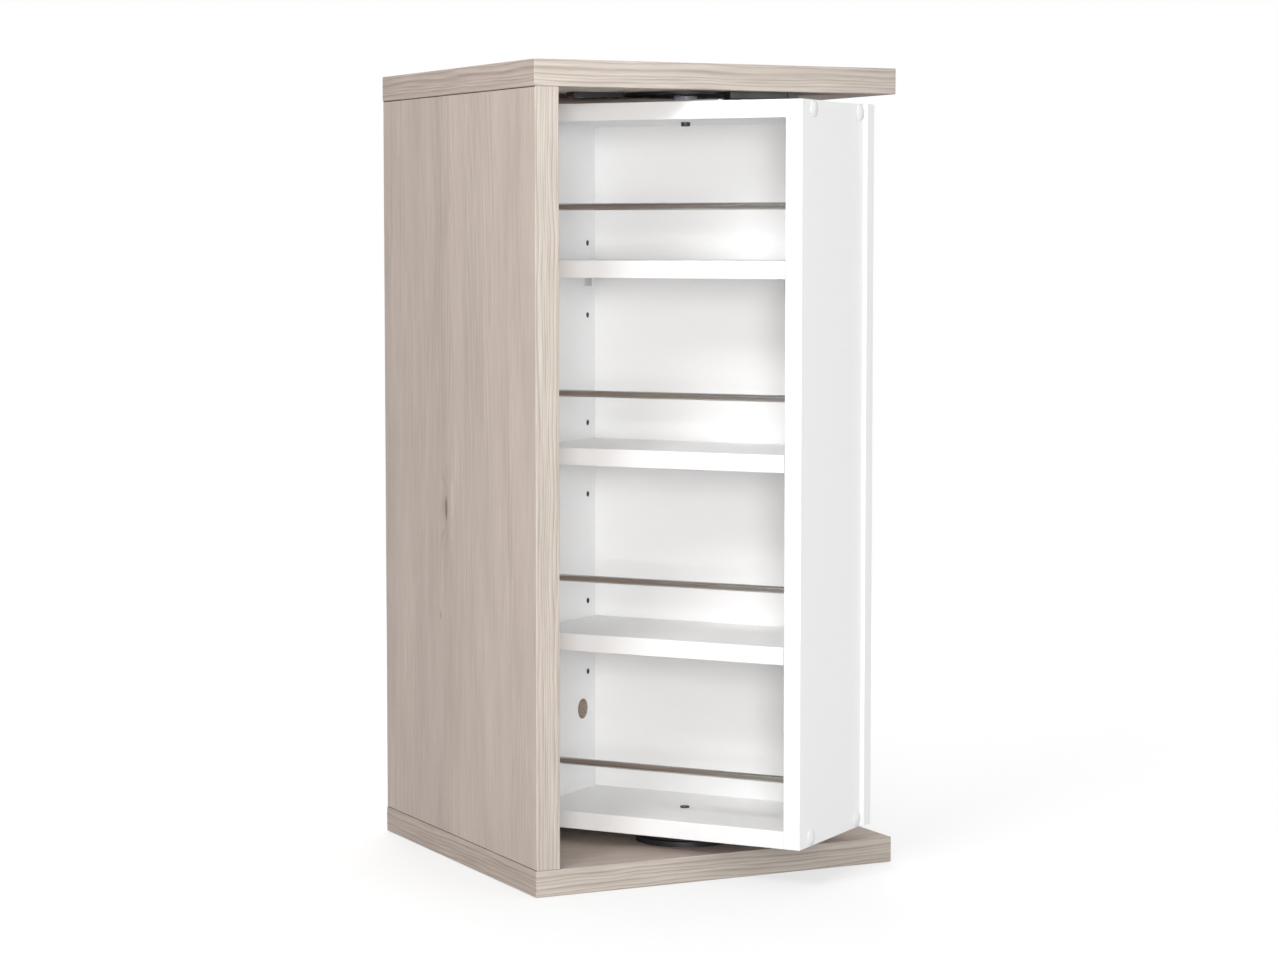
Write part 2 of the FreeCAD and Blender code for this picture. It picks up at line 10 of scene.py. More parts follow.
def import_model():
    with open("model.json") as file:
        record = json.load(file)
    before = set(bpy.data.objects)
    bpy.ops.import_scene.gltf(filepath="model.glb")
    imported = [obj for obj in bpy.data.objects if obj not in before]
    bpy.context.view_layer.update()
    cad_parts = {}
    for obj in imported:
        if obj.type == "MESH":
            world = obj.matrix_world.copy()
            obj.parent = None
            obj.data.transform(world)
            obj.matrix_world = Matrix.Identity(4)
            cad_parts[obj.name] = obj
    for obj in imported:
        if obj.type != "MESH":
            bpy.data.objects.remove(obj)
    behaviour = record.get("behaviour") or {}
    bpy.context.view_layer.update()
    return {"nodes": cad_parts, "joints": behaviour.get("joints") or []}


# Camera: the place in metres, the tilt up from straight down and the turn about Z in degrees.
CAMERA_PLACE = (-1.22315, -2.47634, 0.54284)
CAMERA_TILT_DEG = 85.567
CAMERA_TURN_DEG = -26.407
CAMERA_LENS_MM = 87.938

# Linear colours.
EDGE_LIGHT = (0.590, 0.530, 0.470)
EDGE_DARK = (0.330, 0.275, 0.232)
FACE_LIGHT = (0.665, 0.566, 0.505)
FACE_DARK = (0.470, 0.388, 0.338)
CORE_LIGHT = (0.620, 0.530, 0.450)
CORE_DARK = (0.340, 0.270, 0.220)
# Painted shade: the core inside the narrow holes, darkened for the shade there.
HOLE_SHADE_LIGHT = (0.170, 0.140, 0.115)
HOLE_SHADE_DARK = (0.060, 0.048, 0.040)
# Painted shade: the dark rim where the left panel meets the boards above and below it.
JOINT_LIGHT = (0.110, 0.075, 0.055)
JOINT_DARK = (0.045, 0.030, 0.022)
WHITE = (0.930, 0.930, 0.930)
WHITE_DEEP = (0.915, 0.916, 0.918)
CAP_WHITE = (0.800, 0.805, 0.800)
RAIL = (0.540, 0.510, 0.480)
ZINC = (0.600, 0.610, 0.620)
BRASS = (0.780, 0.580, 0.270)
DARK_STEEL = (0.090, 0.090, 0.095)
BLACK = (0.014, 0.014, 0.015)
PAD_BLACK = (0.026, 0.025, 0.026)
GREY = (0.330, 0.330, 0.370)
SPACER_GREY = (0.720, 0.720, 0.820)
BEECH_LIGHT = (0.620, 0.460, 0.310)
BEECH_DARK = (0.430, 0.290, 0.180)
MIRROR = (0.900, 0.915, 0.910)
MIRROR_HAZE = (0.888, 0.905, 0.900)
GLASS_EDGE = (0.120, 0.330, 0.260)
GLASS_EDGE_LIGHT = (0.190, 0.430, 0.350)

# Light from the surroundings: up to the horizon, then growing to straight above.
WORLD_LOW = 0.36
WORLD_HIGH = 0.50

# Lamps: name, place, what it is aimed at, its size, its watts, and whether it makes a sheen.
MIDDLE = (0.0, 0.0, 0.35)
LEFT_PANEL = (-0.17, -0.05, 0.55)
LAMPS = (
    ("front_softbox", (-1.35, -2.85, 0.64), MIDDLE, (1.0, 1.0), 51.0, True),
    ("left_softbox", (-1.25, -0.9, 1.45), LEFT_PANEL, (0.6, 0.6), 14.0, True),
    ("right_softbox", (1.5, -2.4, 0.9), MIDDLE, (1.2, 1.2), 20.5, True),
    ("back_softbox", (0.9, 2.6, 1.3), MIDDLE, (1.4, 1.4), 50.0, False),
    ("top_softbox", (0.2, 0.4, 2.7), MIDDLE, (1.6, 1.6), 14.0, False),
)

# The floor: its grey, the white it shows to the camera on top of that, and how it fades away.
FLOOR_TONE = 0.42
FLOOR_MOTTLE = 0.01
FLOOR_GLOW = 0.56
FLOOR_RADIUS = 14.0
FLOOR_DROP = 0.0004
FADE_FROM = 0.55
FADE_TO = 2.2
FADE_SOFT = 0.2

AXES = "XYZ"
WHITE_LIGHT = (1.0, 1.0, 1.0, 1.0)

# Nearly all of a noise's values lie between these two.
NOISE_LOW = 0.3
NOISE_HIGH = 0.7

# A polygon deeper than this inside a board's box is the wall of a hole.
HOLE_DEPTH = 0.001
# An outer face whose normal tips up or down by more than this has turned over to the board's end.
RIM_TILT = 0.2
# The polygons of the mirror's face look along +Y by more than this.
FACING = 0.7
# Below this height the only hole in the unit's sides is the wide port.
PORT_TOP = 0.14


class Graph:
    """A material's node tree, with short calls that add a node and fill its inputs."""

    def __init__(self, name):
        self.material = bpy.data.materials.new(name)
        self.material.use_nodes = True
        self.tree = self.material.node_tree
        self.tree.nodes.clear()
        self.output = self.tree.nodes.new("ShaderNodeOutputMaterial")

    def put(self, socket, value):
        """Links an output to this input, or sets the input to a number, vector or colour."""
        if isinstance(value, bpy.types.NodeSocket):
            self.tree.links.new(value, socket)
        elif value is not None:
            socket.default_value = value

    def coordinates(self):
        return self.tree.nodes.new("ShaderNodeTexCoord").outputs["Object"]

    def split(self, vector):
        node = self.tree.nodes.new("ShaderNodeSeparateXYZ")
        self.put(node.inputs[0], vector)
        return {axis: node.outputs[axis] for axis in AXES}

    def join(self, x, y, z):
        node = self.tree.nodes.new("ShaderNodeCombineXYZ")
        for socket, value in zip(node.inputs, (x, y, z)):
            self.put(socket, value)
        return node.outputs[0]

    def math(self, operation, a, b=None, c=None, clamp=False):
        node = self.tree.nodes.new("ShaderNodeMath")
        node.operation = operation
        node.use_clamp = clamp
        for socket, value in zip(node.inputs, (a, b, c)):
            self.put(socket, value)
        return node.outputs[0]

    def add(self, a, b):
        return self.math("ADD", a, b)

    def times(self, a, b):
        return self.math("MULTIPLY", a, b)

    def scaled(self, vector, factors):
        node = self.tree.nodes.new("ShaderNodeVectorMath")
        node.operation = "MULTIPLY"
        self.put(node.inputs[0], vector)
        self.put(node.inputs[1], factors)
        return node.outputs[0]

    def noise(self, vector, scale=1.0, detail=2.0, rough=0.5):
        node = self.tree.nodes.new("ShaderNodeTexNoise")
        self.put(node.inputs["Vector"], vector)
        self.put(node.inputs["Scale"], scale)
        self.put(node.inputs["Detail"], detail)
        self.put(node.inputs["Roughness"], rough)
        return node.outputs["Fac"]

    def line_noise(self, value, scale):
        """Smooth noise of one number."""
        node = self.tree.nodes.new("ShaderNodeTexNoise")
        node.noise_dimensions = "1D"
        self.put(node.inputs["W"], value)
        self.put(node.inputs["Scale"], scale)
        self.put(node.inputs["Detail"], 0.0)
        return node.outputs["Fac"]

    def cells(self, vector, scale):
        """A random grey for each cell of a cracked-up volume."""
        node = self.tree.nodes.new("ShaderNodeTexVoronoi")
        self.put(node.inputs["Vector"], vector)
        self.put(node.inputs["Scale"], scale)
        return self.split(node.outputs["Color"])["X"]

    def ramp(self, value, stops, interpolation="LINEAR"):
        """A colour for each value, through (place, colour) stops."""
        node = self.tree.nodes.new("ShaderNodeValToRGB")
        ramp = node.color_ramp
        ramp.interpolation = interpolation
        while len(ramp.elements) < len(stops):
            ramp.elements.new(0.5)
        for element, (place, colour) in zip(ramp.elements, stops):
            element.position = place
            element.color = (*colour, 1.0)
        self.put(node.inputs[0], value)
        return node.outputs["Color"]

    def steps(self, value, stops):
        """A grey curve through (place, height) stops."""
        return self.ramp(value, [(place, (height,) * 3) for place, height in stops])

    def spread(self, value, low, high, to_low=0.0, to_high=1.0):
        """Maps low to to_low and high to to_high, and stops there."""
        node = self.tree.nodes.new("ShaderNodeMapRange")
        for socket, number in zip(node.inputs, (value, low, high, to_low, to_high)):
            self.put(socket, number)
        return node.outputs[0]

    def even(self, noise, to_low=0.0, to_high=1.0):
        """Spreads the middle of a noise, where nearly all of it lies, over a range."""
        return self.spread(noise, NOISE_LOW, NOISE_HIGH, to_low, to_high)

    def mix(self, factor, a, b):
        node = self.tree.nodes.new("ShaderNodeMix")
        node.data_type = "RGBA"
        self.put(node.inputs["Factor"], factor)
        self.put(node.inputs["A"], self.opaque(a))
        self.put(node.inputs["B"], self.opaque(b))
        return node.outputs["Result"]

    @staticmethod
    def opaque(colour):
        return (*colour, 1.0) if isinstance(colour, tuple) else colour

    def shade(self, colour, factor):
        """Darkens or lightens a colour by a grey factor around 1."""
        node = self.tree.nodes.new("ShaderNodeVectorMath")
        node.operation = "SCALE"
        self.put(node.inputs[0], colour)
        self.put(node.inputs["Scale"], factor)
        return node.outputs[0]

    def bump(self, height, distance, strength=1.0):
        node = self.tree.nodes.new("ShaderNodeBump")
        self.put(node.inputs["Height"], height)
        self.put(node.inputs["Distance"], distance)
        self.put(node.inputs["Strength"], strength)
        return node.outputs["Normal"]

    def surface(self, colour, roughness, normal, metallic=0.0):
        """Ends the tree in a principled surface and gives the finished material."""
        node = self.tree.nodes.new("ShaderNodeBsdfPrincipled")
        self.put(node.inputs["Base Color"], self.opaque(colour))
        self.put(node.inputs["Roughness"], roughness)
        self.put(node.inputs["Metallic"], metallic)
        self.put(node.inputs["Normal"], normal)
        self.tree.links.new(node.outputs[0], self.output.inputs["Surface"])
        return self.material


# --- Wood decor ------------------------------------------------------------------------------

# Planks printed on the wide faces: where each begins, in metres across the grain from the middle
# of the board, then its tone, the place of its ring centre and its distance from the pith.
PLANK_SPAN = 0.400
PLANKS = (
    (-0.200, 1.00, 0.30, 0.55),
    (-0.110, 1.02, 0.70, 0.20),
    (-0.060, 0.97, 0.45, 0.80),
    (-0.027, 0.995, 0.20, 0.40),
    (0.012, 0.935, 0.60, 0.15),
    (0.096, 0.955, 0.35, 0.65),
)
# How far to either side the ring centre may lie, how deep the pith, and how the pith leans.
CENTRE_REACH = 0.09
PITH_DEPTH = (0.010, 0.060)
PITH_LEAN = 0.045

# Year rings: the width of one in metres, how unevenly they lie, and the grey through one ring.
FACE_RING = 0.0036
EDGE_RING = 0.0036
UPRIGHT_EDGE_RING = 0.0027
RING_UNEVEN = 1.6
RING_DRIFT = 0.37
RING_CURVE = ((0.0, 0.0), (0.10, 0.06), (0.55, 0.32), (0.86, 1.0), (0.95, 0.35))

# Noise along the grain: changes per metre across the grain, then along it.
THIN_FIBRES = (1300.0, 45.0)
WIDE_FIBRES = (360.0, 15.0)
CLOUDS = (40.0, 6.0)
BUSY_PARTS = (16.0, 2.4)

# How the grain wanders: changes per metre across and along, detail, and reach in metres.
FACE_WAVES = (((9.0, 3.2), 1.0, 0.030), ((34.0, 11.0), 1.0, 0.0060))
EDGE_WAVES = (((38.0, 8.5), 1.5, 0.0085), ((90.0, 34.0), 1.0, 0.0016))
EDGE_DEPTH_RATE = 8.0

# How deep the grain is pressed in, in metres, and how strongly it shows.
GRAIN_DEPTH = 0.00012
GRAIN_STRENGTH = 0.6

# An edge band along the front reaches this far to either side of the middle. Painted shade darkens
# it toward its far end and darkens the flat faces; painted light makes the side bands warmer.
BAND_REACH = 0.17
BAND_FAR_PAINTED_SHADE = 0.78
SIDE_BAND_PAINTED_LIGHT = (1.06, 1.00, 1.00)
FLAT_PAINTED_SHADE = 0.76

# Small closed knots on the left panel: middle (y, z) and half size in metres, then how dark.
KNOTS = (
    ((0.023, 0.308), (0.0036, 0.0125), 0.80),
    ((0.037, 0.213), (0.0019, 0.0050), 0.50),
)
# The grain bends around a knot, this many knots wide and by this many half widths.
KNOT_SWIRL = 4.5
KNOT_BEND = 3.6
KNOT_BROWN = (0.200, 0.155, 0.130)
# The first knot stands in a darker streak, this big.
KNOT_STREAK = (0.009, 0.060)
KNOT_STREAK_TONE = 0.87


def plank_values(graph, across):
    """Tone, ring centre and pith distance of the plank at this place across the board."""
    place = graph.spread(across, -PLANK_SPAN / 2, PLANK_SPAN / 2)
    stops = [((start + PLANK_SPAN / 2) / PLANK_SPAN, (tone / 2, centre, pith))
             for start, tone, centre, pith in PLANKS]
    values = graph.split(graph.ramp(place, stops, "CONSTANT"))
    return graph.times(values["X"], 2.0), values["Y"], values["Z"]


def soft_spot(graph, along, across, place, size):
    """1 at the middle of an ellipse on the board, falling to 0 at its rim."""
    a = graph.times(graph.add(across, -place[0]), 1.0 / size[0])
    b = graph.times(graph.add(along, -place[1]), 1.0 / size[1])
    square = graph.add(graph.times(a, a), graph.times(b, b))
    return graph.math("SUBTRACT", 1.0, square, clamp=True)


def drawn_out(graph, along, across, third, rates, detail, rough=0.5):
    """Noise drawn out along the grain. third is where on its third axis it is cut."""
    place = graph.join(graph.times(across, rates[0]), graph.times(along, rates[1]), third)
    return graph.noise(place, 1.0, detail, rough)


def wander(graph, along, across, third, waves):
    """How far the grain has strayed sideways, in metres: one slow wave and one quick one."""
    strays = []
    for rates, detail, reach in waves:
        wave = drawn_out(graph, along, across, third, rates, detail)
        strays.append(graph.times(graph.add(wave, -0.5), reach))
    return graph.add(*strays)


def ring_lines(graph, distance, width):
    """Year rings: a slow darkening through each ring and a quick step back to light wood."""
    uneven = graph.times(graph.line_noise(distance, RING_DRIFT / width), RING_UNEVEN)
    phase = graph.math("FRACT", graph.add(graph.times(distance, 1.0 / width), uneven))
    return graph.steps(phase, RING_CURVE)


def fibres(graph, along, across, depth):
    """Two sizes of thin streaks that run with the grain."""
    thin_depth = graph.times(depth, THIN_FIBRES[0])
    wide_depth = graph.times(depth, WIDE_FIBRES[0])
    thin = drawn_out(graph, along, across, thin_depth, THIN_FIBRES, 2.0, 0.6)
    wide = drawn_out(graph, along, across, wide_depth, WIDE_FIBRES, 2.0, 0.55)
    return thin, wide


def third_axis(along_axis, across_axis):
    return (set(AXES) - {along_axis, across_axis}).pop()


def pith_distance(graph, along, across, centre, pith, knots):
    """How far this place is from the pith of its plank, in metres, pushed out around each knot."""
    stray = wander(graph, along, across, pith, FACE_WAVES)
    sideways = graph.add(across, graph.spread(centre, 0.0, 1.0, -CENTRE_REACH, CENTRE_REACH))
    offset = graph.add(sideways, stray)
    depth = graph.add(graph.spread(pith, 0.0, 1.0, *PITH_DEPTH), graph.times(along, PITH_LEAN))
    square = graph.add(graph.times(offset, offset), graph.times(depth, depth))
    distance = graph.math("SQRT", square)
    for middle, size, _ in knots:
        reach = (size[0] * KNOT_SWIRL, size[1] * KNOT_SWIRL)
        swirl = soft_spot(graph, along, across, middle, reach)
        bend = graph.times(graph.times(swirl, swirl), KNOT_BEND * size[0])
        distance = graph.add(distance, bend)
    return distance


def add_knots(graph, colour, along, across, knots):
    """Draws the knots, the first one in its streak, over a colour."""
    (y, z), size, _ = knots[0]
    streak = soft_spot(graph, along, across, (y + size[0] / 2, z - size[1]), KNOT_STREAK)
    colour = graph.shade(colour, graph.spread(streak, 0.0, 1.0, 1.0, KNOT_STREAK_TONE))
    for middle, size, strength in knots:
        dark = soft_spot(graph, along, across, middle, size)
        colour = graph.mix(graph.spread(dark, 0.0, 0.8, 0.0, strength), colour, KNOT_BROWN)
    return colour


def face_grain(graph, along, across, centre, pith, rings, wide):
    """How dark the grain is, from 0 to 1: lines that come and go, over soft clouds."""
    cloudy = drawn_out(graph, along, across, pith, CLOUDS, 3.0, 0.6)
    busy = drawn_out(graph, along, across, centre, BUSY_PARTS, 2.0)
    busy = graph.spread(busy, 0.38, 0.62, 0.30, 1.0)
    lines = graph.add(graph.times(rings, 0.50), graph.times(graph.even(wide), 0.42))
    lines = graph.times(graph.add(lines, -0.35), busy)
    return graph.add(lines, graph.spread(cloudy, 0.25, 0.75, 0.08, 0.68))


def wood_face(name, along_axis, across_axis, knots=(), dim=1.0):
    """The wide faces: bleached planks with fine low-contrast grain and a printed satin film."""
    graph = Graph(name)
    place = graph.split(graph.coordinates())
    along, across = place[along_axis], place[across_axis]
    depth = place[third_axis(along_axis, across_axis)]
    tone, centre, pith = plank_values(graph, across)
    distance = pith_distance(graph, along, across, centre, pith, knots)
    rings = ring_lines(graph, distance, FACE_RING)
    thin, wide = fibres(graph, along, across, depth)
    grain = face_grain(graph, along, across, centre, pith, rings, wide)
    colour = graph.mix(grain, FACE_LIGHT, FACE_DARK)
    fleck = graph.spread(thin, 0.56, 0.74, 1.0, 0.88)
    # The dim factor is painted shade: it makes the flat faces darker.
    colour = graph.shade(colour, graph.times(graph.times(fleck, tone), dim))
    if knots:
        colour = add_knots(graph, colour, along, across, knots)
    relief = graph.add(graph.times(rings, -0.6), graph.times(thin, 0.7))
    normal = graph.bump(relief, GRAIN_DEPTH, GRAIN_STRENGTH)
    return graph.surface(colour, graph.even(wide, 0.44, 0.56), normal)


def wood_edge(name, along_axis, across_axis, painted_light_tint=(1.0, 1.0, 1.0), far_painted_shade=1.0, ring=EDGE_RING):
    """The edge bands: wood with distinct straight to wavy lines.

    The tint is painted light that makes a band warmer, and the far-end tone is painted shade: how
    much darker a band along the front is made at its far end. ring is how wide one year ring is,
    in metres.
    """
    graph = Graph(name)
    place = graph.split(graph.coordinates())
    along, across = place[along_axis], place[across_axis]
    depth = place[third_axis(along_axis, across_axis)]
    stray = wander(graph, along, across, graph.times(depth, EDGE_DEPTH_RATE), EDGE_WAVES)
    rings = ring_lines(graph, graph.add(across, stray), ring)
    thin, wide = fibres(graph, along, across, depth)
    grain = graph.add(graph.times(rings, 0.62), graph.times(graph.even(wide), 0.38))
    colour = graph.mix(grain, EDGE_LIGHT, EDGE_DARK)
    # Painted shade: a band along the front is made darker toward its far end.
    painted_falloff = graph.spread(along, -BAND_REACH, BAND_REACH, 1.0, far_painted_shade)
    fleck = graph.spread(thin, 0.58, 0.74, 1.0, 0.90)
    # Painted light: the side bands are tinted warmer.
    colour = graph.shade(graph.scaled(colour, painted_light_tint), graph.times(fleck, painted_falloff))
    relief = graph.add(graph.times(rings, -0.8), graph.times(thin, 0.5))
    normal = graph.bump(relief, GRAIN_DEPTH, GRAIN_STRENGTH)
    return graph.surface(colour, graph.even(wide, 0.42, 0.54), normal)


# Fineness of the patterns below, in changes per metre, and their depth in metres.
CHIPS = 620.0
CHIP_STRETCH = (1.0, 1.0, 1.6)
CHIP_DUST = 2400.0
CHIP_DEPTH = 0.0004
RIM_CHIPS = 900.0
RIM_DEPTH = 0.0002
BEECH_GRAIN = (260.0, 260.0, 900.0)
BEECH_FLECKS = 3100.0
BEECH_DEPTH = 0.0002


def chipboard(name, light, dark):
    """Bare particle board, seen inside holes and pockets."""
    graph = Graph(name)
    place = graph.coordinates()
    chips = graph.cells(graph.scaled(place, CHIP_STRETCH), CHIPS)
    fine = graph.noise(place, CHIP_DUST, 3.0, 0.7)
    tone = graph.add(graph.times(chips, 0.7), graph.times(fine, 0.3))
    colour = graph.mix(tone, dark, light)
    return graph.surface(colour, 0.85, graph.bump(tone, CHIP_DEPTH))


def joint_shadow():
    """Painted shade: a dark chipped rim where an upright meets the board above or below it, for
    the shadow in that joint.
    """
    graph = Graph("painted_joint_shadow_rim")
    place = graph.coordinates()
    chips = graph.cells(place, RIM_CHIPS)
    colour = graph.mix(chips, JOINT_DARK, JOINT_LIGHT)
    return graph.surface(colour, 0.9, graph.bump(chips, RIM_DEPTH))


def beech():
    graph = Graph("beech_dowel")
    place = graph.coordinates()
    stretched = graph.noise(graph.scaled(place, BEECH_GRAIN), 1.0, 3.0, 0.6)
    fleck = graph.noise(place, BEECH_FLECKS, 1.0)
    colour = graph.mix(graph.even(stretched), BEECH_LIGHT, BEECH_DARK)
    colour = graph.shade(colour, graph.spread(fleck, 0.6, 0.75, 1.0, 0.8))
    return graph.surface(colour, 0.62, graph.bump(stretched, BEECH_DEPTH))


# --- White board, plastics, metals and glass -------------------------------------------------

# Fineness of the patterns below, in changes per metre, and their depth in metres.
PEARL = 1150.0
PEARL_DEPTH = 0.00006
BOARD_CLOUDS = 9.0
MOULD_GRAIN = 1900.0
MOULD_DEPTH = 0.00010
MOULD_CLOUDS = 70.0
FELT_GRAIN = 900.0
FELT_DEPTH = 0.0004
CAP_GRAIN = 2600.0
CAP_DEPTH = 0.00004
PLATING = 1400.0
PLATING_DUST = 4200.0
PLATING_DEPTH = 0.00003
RAIL_SCRATCHES = (40.0, 5200.0, 5200.0)
RAIL_CLOUDS = (14.0, 90.0, 90.0)
SCRATCH_DEPTH = 0.00004
MIRROR_CLOUDS = 26.0
GROUND_GLASS = 2600.0
GROUND_DEPTH = 0.00006


def white_board():
    """White melamine: satin, with the faint pearl texture of its press plate."""
    graph = Graph("white_melamine")
    place = graph.coordinates()
    pearl = graph.noise(place, PEARL, 2.0, 0.55)
    broad = graph.noise(place, BOARD_CLOUDS, 3.0, 0.5)
    colour = graph.mix(graph.even(pearl), WHITE, WHITE_DEEP)
    colour = graph.shade(colour, graph.even(broad, 1.0, 0.985))
    normal = graph.bump(pearl, PEARL_DEPTH, 0.5)
    return graph.surface(colour, graph.even(broad, 0.42, 0.50), normal)


def plastic(name, colour, roughness, grain=MOULD_GRAIN, depth=MOULD_DEPTH):
    """Moulded plastic with an eroded grain."""
    graph = Graph(name)
    place = graph.coordinates()
    texture = graph.noise(place, grain, 3.0, 0.6)
    broad = graph.noise(place, MOULD_CLOUDS, 2.0)
    shade = graph.add(graph.even(texture, -0.06, 0.06), graph.even(broad, 0.97, 1.03))
    polish = graph.even(broad, roughness - 0.05, roughness + 0.05)
    return graph.surface(graph.shade(colour, shade), polish, graph.bump(texture, depth, 0.6))


def metal(name, colour, roughness):
    """Plated steel or brass: small cloudy differences in tone and polish."""
    graph = Graph(name)
    place = graph.coordinates()
    cloud = graph.cells(place, PLATING)
    fine = graph.noise(place, PLATING_DUST, 2.0, 0.6)
    tone = graph.shade(colour, graph.spread(cloud, 0.0, 1.0, 0.88, 1.06))
    polish = graph.spread(cloud, 0.0, 1.0, roughness - 0.06, roughness + 0.08)
    return graph.surface(tone, polish, graph.bump(fine, PLATING_DEPTH, 0.5), 1.0)


def brushed_rail(turn):
    """Rods brushed along their length. turn brings that length round to the X axis."""
    graph = Graph("brushed_rail")
    node = graph.tree.nodes.new("ShaderNodeVectorRotate")
    node.rotation_type = "Z_AXIS"
    graph.put(node.inputs["Vector"], graph.coordinates())
    graph.put(node.inputs["Angle"], turn)
    place = node.outputs[0]
    scratches = graph.noise(graph.scaled(place, RAIL_SCRATCHES), 1.0, 3.0, 0.7)
    cloud = graph.noise(graph.scaled(place, RAIL_CLOUDS), 1.0, 2.0)
    shade = graph.times(graph.even(scratches, 0.82, 1.12), graph.even(cloud, 0.95, 1.05))
    polish = graph.even(scratches, 0.15, 0.25)
    normal = graph.bump(scratches, SCRATCH_DEPTH, 0.5)
    return graph.surface(graph.shade(RAIL, shade), polish, normal, 1.0)


def mirror_face():
    """Silvered glass with a trace of haze."""
    graph = Graph("mirror_silver")
    haze = graph.noise(graph.coordinates(), MIRROR_CLOUDS, 4.0, 0.6)
    colour = graph.mix(graph.even(haze), MIRROR, MIRROR_HAZE)
    return graph.surface(colour, graph.spread(haze, 0.45, 0.75, 0.012, 0.035), None, 1.0)


def glass_edge():
    """The ground green edge of the mirror's glass."""
    graph = Graph("ground_glass_edge")
    ground = graph.noise(graph.coordinates(), GROUND_GLASS, 3.0, 0.6)
    colour = graph.mix(graph.even(ground), GLASS_EDGE, GLASS_EDGE_LIGHT)
    return graph.surface(colour, 0.22, graph.bump(ground, GROUND_DEPTH, 0.5))


# --- Which material goes where ---------------------------------------------------------------


def paint(node, choose, turn=0.0):
    """Gives a board one material per polygon. choose(normal, inside, middle) gives it.

    turn is how far the board has to be turned back about Z to stand square. A polygon lies
    inside when its middle is deeper than HOLE_DEPTH in the board's box, as the wall of a hole is.
    choose gets the polygon's normal and middle as they are on the square board.
    """
    mesh = node.data
    back = Matrix.Rotation(turn, 3, "Z")
    points = [back @ vertex.co for vertex in mesh.vertices]
    low = [min(point[k] for point in points) for k in range(3)]
    high = [max(point[k] for point in points) for k in range(3)]
    mesh.materials.clear()
    slots = {}
    picked = []
    for polygon in mesh.polygons:
        middle = back @ polygon.center
        depth = min(min(middle[k] - low[k], high[k] - middle[k]) for k in range(3))
        material = choose(back @ polygon.normal, depth > HOLE_DEPTH, middle)
        if material.name not in slots:
            slots[material.name] = len(slots)
            mesh.materials.append(material)
        picked.append(slots[material.name])
    mesh.polygons.foreach_set("material_index", picked)


def cover(node, material):
    """Gives a whole node one material."""
    node.data.materials.clear()
    node.data.materials.append(material)
    node.data.polygons.foreach_set("material_index", [0] * len(node.data.polygons))


def main_axis(normal):
    return max(range(3), key=lambda k: abs(normal[k]))


def by_axis(materials, core):
    """A chooser that takes the material by the axis that a polygon faces."""
    return lambda normal, inside, middle: core if inside else materials[main_axis(normal)]


def plain(face, core):
    """A chooser for a board that looks the same on all six sides."""
    return by_axis((face, face, face), core)


def upright_chooser(materials, core, rim):
    """As by_axis, with painted shade on the rim where the outer face turns over to the board's
    ends.
    """
    usual = by_axis(materials, core)

    def choose(normal, inside, middle):
        turned_over = abs(normal[2]) > RIM_TILT and abs(normal[0]) > abs(normal[1])
        if turned_over and not inside:
            return rim
        return usual(normal, inside, middle)

    return choose


def drilled_chooser(face, core, deep):
    """For the unit's sides: pale core in the wide port, and a darker core in the narrow holes as
    painted shade.
    """

    def choose(normal, inside, middle):
        if not inside:
            return face
        return core if middle[2] < PORT_TOP else deep

    return choose


def mirror_chooser():
    """Silver on the mirror's face, ground glass on its edges and back."""
    silver, edge = mirror_face(), glass_edge()
    return lambda normal, inside, middle: silver if normal[1] > FACING else edge


def dress_casing(nodes, core):
    upright = wood_face("larch_face_upright", "Z", "Y", knots=KNOTS)
    across = wood_face("larch_face_back", "Z", "X")
    # Painted shade darkens the flat faces and the right end of the front bands; painted light
    # warms the side bands.
    flat = wood_face("larch_face_flat", "X", "Y", dim=FLAT_PAINTED_SHADE)
    edge_upright = wood_edge("larch_edge_upright", "Z", "X", ring=UPRIGHT_EDGE_RING)
    edge_front = wood_edge("larch_edge_front", "X", "Z", far_painted_shade=BAND_FAR_PAINTED_SHADE)
    edge_side = wood_edge("larch_edge_side", "Y", "Z", painted_light_tint=SIDE_BAND_PAINTED_LIGHT)
    left_panel = upright_chooser((upright, edge_upright, edge_upright), core, joint_shadow())
    paint(nodes["casing_left_panel"], left_panel)
    paint(nodes["casing_back_panel"], by_axis((upright, across, across), core))
    for name in ("casing_top_panel", "casing_bottom_panel"):
        paint(nodes[name], by_axis((edge_side, edge_front, flat), core))


def dress_unit(nodes, core, turn):
    white = white_board()
    # The core in the narrow holes is darkened as painted shade.
    deep = chipboard("chipboard_painted_shade_in_small_holes", HOLE_SHADE_LIGHT, HOLE_SHADE_DARK)
    for name in ("unit_left_side", "unit_right_side"):
        paint(nodes[name], drilled_chooser(white, core, deep), turn)
    for name in ("unit_top_board", "unit_bottom_board", "unit_back_board", "shelf_lower",
                 "shelf_middle", "shelf_upper"):
        paint(nodes[name], plain(white, core), turn)
    paint(nodes["mirror_glass"], mirror_chooser(), turn)
    rail = brushed_rail(turn)
    for name in ("guard_rail_1", "guard_rail_2", "guard_rail_3", "guard_rail_4"):
        cover(nodes[name], rail)


